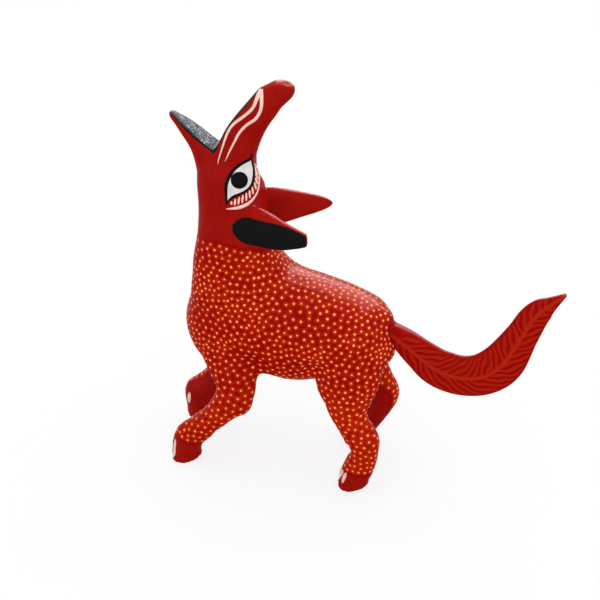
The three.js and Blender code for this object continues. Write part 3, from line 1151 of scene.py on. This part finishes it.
    def mark(self, dots: Sequence[Vector]) -> None:
        """Keeps on each point its distance to the nearest dot, the mouth, the cheek patches and the nicks.

        Args:
            dots: the dots' centres in metres.
        """
        lines = (self.palate, self.mouth_floor, self.mouth_web)
        runs = np.vstack([spline(line, self.run_steps) for line in lines]) + np.array(MOUTH_CORNER[::2])
        mouth = finder([(x, 0, z) for x, z in runs])
        nearest = finder(dots)
        names = ("dot_gap", "mouth_gap", "cheek_patch", "nick_gap")
        layers = {name: self.bm.verts.layers.float.new(name) for name in names}
        for vert in self.bm.verts:
            x, _, z = vert.co / MM
            vert[layers["dot_gap"]] = nearest.find(vert.co)[2] / MM * graded(z, self.spread_on_legs)
            vert[layers["mouth_gap"]] = mouth.find((x, 0, z))[2]
            vert[layers["cheek_patch"]] = self.cheek_patch(vert.co)
            vert[layers["nick_gap"]] = min((vert.co / MM - Vector(nick)).length for nick in self.nicks)

    def dress(self, material: Material) -> None:
        """Puts the painted skin in place of the CAD body."""
        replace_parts(piece("carved_skin", self.bm, material), "carved_body")


@dataclass
class DotWork:
    """Paint dots set by hand over the body, about evenly spread.

    Sizes are in millimetres. The two tables give the crowding along the body and up it.
    """

    carving: Carving
    spacing: float = 3.0
    radius: float = 0.47
    height: float = 0.13
    size_limits: Place = (0.76, 1.2)
    stretch_limits: Place = (0.93, 1.08)
    unevenness: float = 0.12
    settle: int = 30
    crowding: Places = ((-66.0, 0.64), (-50.0, 0.78), (-30.0, 1.03), (18.0, 1.06))
    rising: Places = ((30.0, 0.8), (50.0, 0.86), (65.0, 0.97), (78.0, 1.08), (90.0, 1.25), (108.0, 1.4))
    least_crowding: float = 0.8
    dome_sides: int = 9
    dome_rings: int = 6
    dome_snap: float = 1e-5
    seed: int = 11
    centres: list[Vector] = field(default_factory=list)

    def _crowd(self, place: Vector) -> float:
        """How crowded the dots are at a place: wider apart on the chest and legs, closer up the neck."""
        x, _, z = place / MM
        return max(self.least_crowding, graded(x, self.crowding) * graded(z, self.rising))

    def _spots(self) -> list[tuple[Vector, float, float]]:
        """Finds the points of the dotted skin.

        Returns:
            Each point's place, the area round it in square millimetres and its crowding.
        """
        return [
            (
                vert.co.copy(),
                sum(face.calc_area() / len(face.verts) for face in vert.link_faces) / MM**2,
                self._crowd(vert.co),
            )
            for vert in self.carving.bm.verts
            if self.carving.wears_dots(vert)
        ]

    def scatter(self) -> None:
        """Draws places for the dots, then settles each in the middle of its own share of the skin."""
        chance = random.Random(self.seed)
        spots = self._spots()
        room = math.sqrt(3) / 2 * self.spacing**2
        count = int(sum(area * crowd for _, area, crowd in spots) / room)
        drawn = sorted(spots, key=lambda spot: chance.random() ** (1 / (spot[1] * spot[2])))[-count:]
        dots = [place for place, _, _ in drawn]
        for _ in range(self.settle):
            tree = finder(dots)
            sums = [[Vector(), 0.0] for _ in dots]
            for place, area, crowd in spots:
                weight = area * crowd**2
                cell = sums[tree.find(place)[1]]
                cell[0] += place * weight
                cell[1] += weight
            dots = [total / weight if weight else dot for (total, weight), dot in zip(sums, dots)]
        for dot in dots:
            shake = Vector([chance.gauss(0, self.unevenness) for _ in range(3)]) * MM
            self.centres.append(self.carving.tree.find_nearest(dot + shake)[0])

    def _dome(self) -> bpy.types.Mesh:
        """Models one dot of unit size.

        Returns:
            A low dome on a flat back.
        """
        bm = bmesh.new()
        bmesh.ops.create_uvsphere(bm, u_segments=self.dome_sides, v_segments=self.dome_rings, radius=1.0)
        whole = bm.verts[:] + bm.edges[:] + bm.faces[:]
        cut = bmesh.ops.bisect_plane(
            bm, geom=whole, dist=self.dome_snap, plane_no=(0, 0, -1), clear_outer=True
        )
        rim = [edge for edge in cut["geom_cut"] if isinstance(edge, bmesh.types.BMEdge)]
        bmesh.ops.contextual_create(bm, geom=rim)
        bmesh.ops.recalc_face_normals(bm, faces=bm.faces)
        mesh = bpy.data.meshes.new("dome")
        bm.to_mesh(mesh)
        bm.free()
        return mesh

    def dress(self, material: Material) -> None:
        """Sets a dome on the skin at each centre.

        Args:
            material: the dots' paint.
        """
        chance = random.Random(self.seed + 1)
        dome = self._dome()
        bm = bmesh.new()
        for centre in self.centres:
            _, normal, _, _ = self.carving.tree.find_nearest(centre)
            size = self.radius * chance.uniform(*self.size_limits) * MM
            stretch = chance.uniform(*self.stretch_limits)
            scale = Matrix.Diagonal((size * stretch, size / stretch, self.height * MM, 1.0))
            spin = Matrix.Rotation(chance.uniform(0, math.pi), 4, "Z")
            turn = normal.to_track_quat("Z", "Y").to_matrix().to_4x4()
            placed = dome.copy()
            placed.transform(Matrix.Translation(centre) @ turn @ spin @ scale)
            bm.from_mesh(placed)
            bpy.data.meshes.remove(placed)
        tint = bm.verts.layers.float.new("dot_tint")
        shades = [chance.random() for _ in self.centres]
        for index, vert in enumerate(bm.verts):
            vert[tint] = shades[index // len(dome.vertices)]
        bpy.data.meshes.remove(dome)
        piece("paint_dots", bm, material)


@dataclass
class Eye:
    """One painted eye with its lid lines, lashes and the arc round it. In millimetres on its easel."""

    skin: BVHTree
    side: Side
    origin: Point
    out: Point = (0.42, -0.85, 0.22)
    white_lift: float = 0.14
    white_rings: int = 16
    pupil_radius: float = 3.4
    pupil_lift: float = 0.34
    pupil_rings: int = 12
    pupil_steps: int = 64
    lid_lift: float = 0.26
    lid_steps: int = 60
    line_steps: int = 48
    arc_lift: float = 0.2
    arc_steps: int = 72
    lash_lift: float = 0.18
    lash_steps: int = 12
    lash_widths: Point = (0.45, 0.85, 0.5)
    upper_lid: Places = ((-4.96, -8.4), (-4.88, -3.3), (-4.0, 0.1), (-1.78, 3.6), (1.42, 6.1), (5.53, 7.5))
    lower_lid: Places = (
        (-4.96, -8.4), (-2.33, -6.4), (1.77, -4.5), (4.22, -2.5), (5.61, 0.5), (6.06, 3.8), (5.53, 7.5)
    )
    upper_line: Path = (
        (-5.6, -10.1, 0.4), (-5.45, -6.0, 0.9), (-5.2, -1.7, 1.25), (-3.9, 1.5, 1.35),
        (-1.4, 4.7, 1.3), (1.95, 6.85, 1.2), (5.2, 8.2, 1.2), (5.8, 10.2, 0.4),
    )
    lower_line: Path = (
        (-5.4, -9.4, 0.6), (-2.85, -6.75, 1.0), (1.5, -4.95, 1.0), (4.4, -3.0, 1.1),
        (5.95, 0.2, 1.2), (6.4, 3.5, 1.2), (5.6, 7.6, 0.9),
    )
    arc: Path = (
        (-5.6, -12.0, 0.3), (-3.0, -11.8, 1.0), (0.0, -11.3, 1.4), (3.2, -10.05, 1.25), (5.7, -8.1, 0.9),
        (7.5, -5.55, 0.75), (8.4, -2.3, 0.7), (8.9, 0.2, 0.65), (8.4, 2.55, 0.6), (6.5, 5.6, 0.3),
    )
    lashes: tuple[tuple[Place, Place], ...] = (
        ((-3.6, -8.7), (-3.5, -10.2)), ((-1.95, -7.6), (-2.3, -10.4)), ((-0.35, -6.9), (-0.9, -10.1)),
        ((1.1, -6.1), (0.7, -9.6)), ((2.5, -5.4), (2.4, -8.8)), ((3.8, -4.5), (4.0, -7.8)),
        ((5.0, -3.2), (5.35, -6.4)), ((6.1, -1.7), (6.75, -4.7)), ((6.7, -0.2), (7.55, -2.8)),
        ((7.0, 1.3), (7.9, -1.1)), ((7.0, 2.7), (8.0, 0.5)), ((6.7, 4.1), (7.5, 2.0)),
    )

    def dress(self, white: Material, black: Material, cream: Material) -> None:
        """Paints the eye on its side of the head.

        Args:
            white: the eyeball's paint.
            black: the paint of the lids and the pupil.
            cream: the paint of the lashes and the arc.
        """
        easel = Easel(self.skin, self.origin, self.out, self.side)
        lids = [spline(lid, self.lid_steps) for lid in (self.upper_lid, self.lower_lid[::-1])]
        outline = np.vstack([lids[0], lids[1][1:-1]])
        angle = np.linspace(0, 2 * math.pi, self.pupil_steps, endpoint=False)
        disc = np.stack([np.cos(angle), np.sin(angle)], axis=1) * self.pupil_radius
        marks = {
            "eye_white": (easel.patch(outline, self.white_lift, self.white_rings), white),
            "pupil": (easel.patch(disc, self.pupil_lift, self.pupil_rings), black),
            "upper_lid_line": (easel.stroke(self.upper_line, self.lid_lift, self.line_steps), black),
            "lower_lid_line": (easel.stroke(self.lower_line, self.lid_lift, self.line_steps), black),
            "eye_arc": (easel.stroke(self.arc, self.arc_lift, self.arc_steps), cream),
        }
        for number, (start, end) in enumerate(self.lashes, 1):
            middle = (np.array(start) + np.array(end)) / 2
            path = [(*place, width) for place, width in zip((start, middle, end), self.lash_widths)]
            marks[f"lash_{number}"] = (easel.stroke(path, self.lash_lift, self.lash_steps), cream)
        for name, (bm, material) in marks.items():
            piece(f"{self.side.word}_{name}", bm, material)


@dataclass
class SnoutLines:
    """The pair of wavy lines on one side of the snout. In millimetres on its easel."""

    skin: BVHTree
    side: Side
    origin: Point = (-45.91, -5.92, 159.5)
    out: Point = (-0.1, -0.97, 0.2)
    lift: float = 0.2
    steps: int = 110
    front: Path = (
        (5.6, 16.6, 1.6), (5.3, 14.9, 1.9), (4.9, 12.7, 1.5), (3.6, 9.2, 1.2), (0.3, 5.6, 1.15),
        (-4.05, 1.7, 1.1), (-6.45, -1.85, 1.0), (-8.15, -6.8, 0.85), (-9.7, -12.8, 0.5), (-10.0, -15.7, 0.2),
    )
    back: Path = (
        (5.9, 16.5, 1.6), (6.8, 14.7, 1.6), (7.2, 11.3, 1.3), (6.6, 8.1, 1.2), (4.7, 4.9, 1.15),
        (1.1, 1.8, 1.1), (-1.75, -1.8, 1.0), (-3.8, -6.1, 0.85), (-5.8, -10.6, 0.6), (-7.1, -14.2, 0.2),
    )

    def dress(self, cream: Material) -> None:
        """Paints both lines.

        Args:
            cream: the lines' paint.
        """
        easel = Easel(self.skin, self.origin, self.out, self.side)
        for name, path in (("front", self.front), ("back", self.back)):
            bm = easel.stroke(path, self.lift, self.steps)
            piece(f"{self.side.word}_snout_{name}_line", bm, cream)


@dataclass
class MouthFloor:
    """The silver floor of the mouth, from its corner along the lower jaw. In millimetres on its easel."""

    skin: BVHTree
    corner: Point = MOUTH_CORNER
    out: Point = (0.552, 0.0, 0.834)
    reach: float = 4.0
    lift: float = 0.25
    steps: int = 64
    path: Path = (
        (0.4, 1.7, 10.0), (0.45, 5.0, 9.6), (0.5, 9.7, 8.3), (0.5, 14.5, 5.9),
        (0.45, 17.6, 3.7), (0.4, 19.4, 2.2), (0.4, 20.2, 1.2),
    )

    def dress(self, silver: Material) -> None:
        """Lays the glitter on the lower jaw."""
        easel = Easel(self.skin, self.corner, self.out, reach=self.reach)
        piece("silver_mouth_floor", easel.stroke(self.path, self.lift, self.steps), silver)


@dataclass
class Claws:
    """Three painted claws on each paw, in millimetres.

    A row of the shape is millimetres across, then shares of a claw's half-length and of its width.
    """

    carving: Carving
    width: float = 1.9
    tilt: float = 0.15
    lift: float = 0.3
    steps: int = 24
    shape: Path = ((0.1, 1.0, 0.35), (0.15, 0.6, 0.85), (0.0, 0.0, 1.0), (-0.1, -0.7, 0.9), (0.0, -1.0, 0.4))

    def dress(self, material: Material) -> None:
        """Paints the claws of all four paws.

        Args:
            material: the claws' paint.
        """
        for paw in self.carving.paws:
            half = paw.claw_length / 2
            path = [
                (over + paw.claw_lean * up, half * up, self.width * share)
                for over, up, share in self.shape
            ]
            for number in (1, 2, 3):
                turn = math.radians(paw.turn + (number - 2) * paw.toe_spread)
                out = (-math.cos(turn), math.sin(turn), self.tilt)
                easel = Easel(self.carving.tree, (paw.x, paw.y, paw.claw_z), out)
                piece(f"{paw.name}_claw_{number}", easel.stroke(path, self.lift, self.steps), material)


# The studio


@dataclass(frozen=True)
class Lamp:
    """A square soft lamp that points at the dog, in metres and watts. It may show in the gloss alone."""

    name: str
    place: Point
    size: float
    power: float
    gloss_only: bool = False

    def hang(self, target: Point) -> None:
        """Adds the lamp.

        Args:
            target: the point that it faces.
        """
        lamp = bpy.data.lights.new(self.name, "AREA")
        lamp.size = self.size
        lamp.energy = self.power
        obj = bpy.data.objects.new(self.name, lamp)
        obj.location = self.place
        obj.rotation_euler = (Vector(target) - Vector(self.place)).to_track_quat("-Z", "Y").to_euler()
        obj.visible_camera = False
        obj.visible_diffuse = not self.gloss_only
        bpy.context.collection.objects.link(obj)


@dataclass
class Studio:
    """A pale floor, soft light and a camera at the photograph's angle. Sizes are in metres and degrees."""

    target: Point = (-0.023506, -0.004, 0.0835)
    azimuth: float = 16.0
    elevation: float = 32.0
    distance: float = 0.6
    lens: float = 86.4
    sensor: float = 36.0
    nearest: float = 0.01
    floor_half: float = 12.0
    floor_segments: int = 4
    floor_grain: float = 0.05
    floor_tones: tuple[Colour, Colour] = (srgb(232, 232, 231), srgb(228, 228, 227))
    floor_glow: float = 0.8
    daylight: float = 1.06
    lamps: tuple[Lamp, ...] = (
        Lamp("top_softbox", (0.05, 0.1, 0.95), 1.2, 3.4),
        Lamp("sheen_softbox", (0.0, 0.6, 0.75), 1.1, 58.0, gloss_only=True),
    )

    def build(self) -> None:
        """Adds the floor, the world, the lamps and the camera."""
        scene = bpy.context.scene
        scene.view_settings.view_transform = "Standard"
        self._floor()
        self._world(scene)
        for lamp in self.lamps:
            lamp.hang(self.target)
        self._camera(scene)

    def _floor(self) -> None:
        """A plain pale floor that shows white and keeps a soft shadow."""
        bm = bmesh.new()
        segments = self.floor_segments
        bmesh.ops.create_grid(bm, x_segments=segments, y_segments=segments, size=self.floor_half)
        mesh = bpy.data.meshes.new("studio_floor")
        bm.to_mesh(mesh)
        bm.free()
        graph = Graph(bpy.data.materials.new("studio_floor"))
        tone = graph.mix(graph.noise(self.floor_grain, SOFT), *self.floor_tones)
        inputs = {"Base Color": tone, "Roughness": 1.0, "Specular IOR Level": 0.0}
        matt = graph.add("ShaderNodeBsdfPrincipled", inputs=inputs)
        white = graph.add("ShaderNodeEmission", inputs={"Color": (1, 1, 1, 1), "Strength": 1.0})
        rays = [f"Is {kind} Ray" for kind in ("Camera", "Glossy", "Transmission")]
        camera, glossy, through = (graph.add("ShaderNodeLightPath", output=ray) for ray in rays)
        seen = camera.larger(glossy).larger(through) * self.floor_glow
        surface = graph.add("ShaderNodeMixShader", inputs={0: seen, 1: matt, 2: white})
        graph.add("ShaderNodeOutputMaterial", inputs={"Surface": surface})
        mesh.materials.append(graph.owner)
        obj = bpy.data.objects.new("studio_floor", mesh)
        bpy.context.collection.objects.link(obj)

    def _world(self, scene: bpy.types.Scene) -> None:
        """Even light all round and a white background.

        Args:
            scene: the scene to light.
        """
        scene.world = bpy.data.worlds.new("studio")
        graph = Graph(scene.world)
        light = graph.add("ShaderNodeBackground", inputs={"Color": (1, 1, 1, 1), "Strength": self.daylight})
        graph.add("ShaderNodeOutputWorld", inputs={"Surface": light})

    def _camera(self, scene: bpy.types.Scene) -> None:
        """The camera, set by its angle round the dog.

        Args:
            scene: the scene that it looks at.
        """
        turn, rise = math.radians(self.azimuth), math.radians(self.elevation)
        back = Vector((math.sin(turn) * math.cos(rise), -math.cos(turn) * math.cos(rise), math.sin(rise)))
        camera = bpy.data.cameras.new("photo_camera")
        camera.lens = self.lens
        camera.sensor_width = self.sensor
        camera.clip_start = self.nearest
        obj = bpy.data.objects.new("photo_camera", camera)
        obj.location = Vector(self.target) + back * self.distance
        obj.rotation_euler = (-back).to_track_quat("-Z", "Y").to_euler()
        bpy.context.collection.objects.link(obj)
        scene.camera = obj


# This dog's own shapes and places


BLUNT_LEAF = (
    (0.0, 0.0, 2.0, 1.0),
    (0.26, -0.022, 1.643, 0.872),
    (0.52, -0.04, 1.286, 0.69),
    (0.78, -0.028, 1.0, 0.475),
    (0.915, -0.016, 0.82, 0.35),
    (0.955, -0.014, 0.66, 0.28),
    (0.966, -0.014, 0.3, 0.13),
)
POINTED_LEAF = (
    (0.0, 0.0, 2.0, 1.0),
    (0.26, 0.004, 1.643, 0.83),
    (0.52, 0.004, 1.286, 0.63),
    (0.78, 0.0, 1.0, 0.43),
    (0.93, -0.004, 0.75, 0.27),
    (1.01, -0.008, 0.45, 0.13),
    (1.04, -0.01, 0.2, 0.04),
)
CUTS = (
    Cut("nose_underside", (-29.9, 0.0, 170.1), 9.0, (-1.0, 0.0, 0.7)),
    Cut("nose_tip", (-27.6, 0.0, 174.0), 8.0, (1.0, 0.0, 0.4)),
    Cut("left_front_toe", (-76.0, -20.8, 0.0), 3.8, (-0.1, -1.1, 0.0)),
    Cut("bridge", (-41.0, 0.5, 139.0), 9.0, (-1.1, 0.0, -0.4)),
    Cut("far_brow", (-43.2, 7.5, 137.2), 8.0, (-1.2, -1.6, -0.5)),
    Cut("back", (-20.0, 0.0, 101.0), 32.0, (0.0, 0.0, -0.45)),
    Cut("jaw_underside", (-71.7, 0.0, 146.1), 9.0, (0.8, 0.0, 0.3)),
    Cut("chest", (-76.0, 0.0, 59.2), 24.0, (-0.8, 0.0, 0.0)),
    Cut("brisket", (-69.0, -4.0, 47.3), 12.0, (-1.0, 0.0, -0.3)),
    Cut("far_wrist", (-78.6, 14.0, 23.2), 10.0, (0.8, 0.0, -2.2)),
    Cut("belly_front", (-38.0, -7.0, 45.5), 10.0, (0.0, 0.0, 2.4)),
    Cut("behind_shoulder", (-39.6, -17.5, 57.0), 8.0, (0.0, 1.8, 0.0)),
    Cut("before_thigh", (-14.4, -17.0, 59.0), 7.0, (0.0, 1.2, 0.0)),
    Cut("stifle", (-12.6, -14.5, 48.2), 9.0, (-2.3, 0.0, 0.0)),
    Cut("shin", (-4.6, -16.0, 31.7), 10.0, (1.2, 0.0, 0.0)),
    Cut("elbow", (-43.5, -16.0, 31.2), 6.5, (0.8, 0.0, -0.7)),
    Cut("forearm_underside", (-49.5, -16.0, 24.6), 7.0, (-0.4, 0.0, 0.7)),
    Cut("wrist_underside", (-61.9, -16.0, 12.7), 7.0, (0.5, 0.0, -1.0)),
    Cut("wrist_top", (-75.0, -16.0, 14.9), 8.0, (-0.9, 0.0, 0.6)),
    Cut("hock", (14.1, -16.0, 28.2), 9.0, (1.4, 0.0, 0.0)),
    Cut("rump", (16.5, -4.0, 63.3), 9.5, (2.5, 0.0, -0.4)),
    Cut("rump_top", (15.6, 0.0, 79.8), 7.5, (1.7, 0.0, 0.3)),
    Cut("under_tail", (12.3, 10.0, 47.6), 5.5, (-1.3, 0.0, -0.6)),
    Cut("instep", (1.5, -16.0, 22.2), 7.0, (1.4, 0.0, -0.5)),
    Cut("jaw_tip", (-76.6, 0.0, 158.8), 6.0, (-0.9, 0.0, 0.9)),
    Cut("far_thigh", (11.8, 11.0, 45.5), 8.0, (-1.2, 0.0, 0.3)),
    Cut("nose_nick", (-29.9, -0.9, 178.7), 1.7, (-0.2, 0.0, -0.5)),
)
EYE_PLACES = {Side.LEFT: (-47.06, -9.2, 138.64), Side.RIGHT: (-50.7, -11.0, 138.2)}
HIND_HEEL = {"heel_from": 3.0, "heel_slope": 0.3}
PAWS = (
    Paw("left_front", -72.6, -15.9, turn=-4.0, dot_z=12.9, dot_slope=-0.2, claw_z=5.4, claw_length=9.4),
    Paw("right_front", -76.3, 16.0, turn=-4.0, dot_z=13.4, dot_slope=-0.2, claw_z=10.4, claw_length=5.5),
    Paw(
        "left_hind", 3.8, -15.9, turn=-28.0, dot_z=10.9, claw_z=6.4, claw_length=6.0,
        claw_lean=0.8, toe_spread=30.0, **HIND_HEEL,
    ),
    Paw("right_hind", -1.7, 16.0, turn=10.0, dot_z=11.5, claw_z=7.0, claw_length=6.0, **HIND_HEEL),
)


def main() -> None:
    """Builds the dog's pieces in order."""
    logging.basicConfig(level=logging.INFO, format="%(name)s %(message)s")
    Studio().build()
    cream, black = CREAM_PAINT.material(), BLACK_PAINT.material()
    white, claw = EYE_WHITE.material(), CLAW_PAINT.material()
    ears = [Ear(Side.LEFT, BLUNT_LEAF), Ear(Side.RIGHT, POINTED_LEAF)]
    ear_paint = EAR_PAINT.material()
    for ear in ears:
        ear.dress(ear_paint)
    Tail().dress(TAIL_PAINT.material(), FILLER_PAINT.material())
    wood = PEG_WOOD.material()
    for node in ("tail_peg", "left_ear_peg", "right_ear_peg"):
        Peg(node).dress(wood)
    carving = Carving(ears, PAWS, CUTS)
    carving.build()
    dots = DotWork(carving)
    dots.scatter()
    dots.dress(DOT_PAINT.material())
    for side in Side:
        Eye(carving.tree, side, EYE_PLACES[side]).dress(white, black, cream)
        SnoutLines(carving.tree, side).dress(cream)
    MouthFloor(carving.tree).dress(SILVER_GLITTER.material())
    Claws(carving).dress(claw)
    carving.mark(dots.centres)
    carving.dress(SKIN_PAINT.material())


if __name__ == "__main__":
    main()
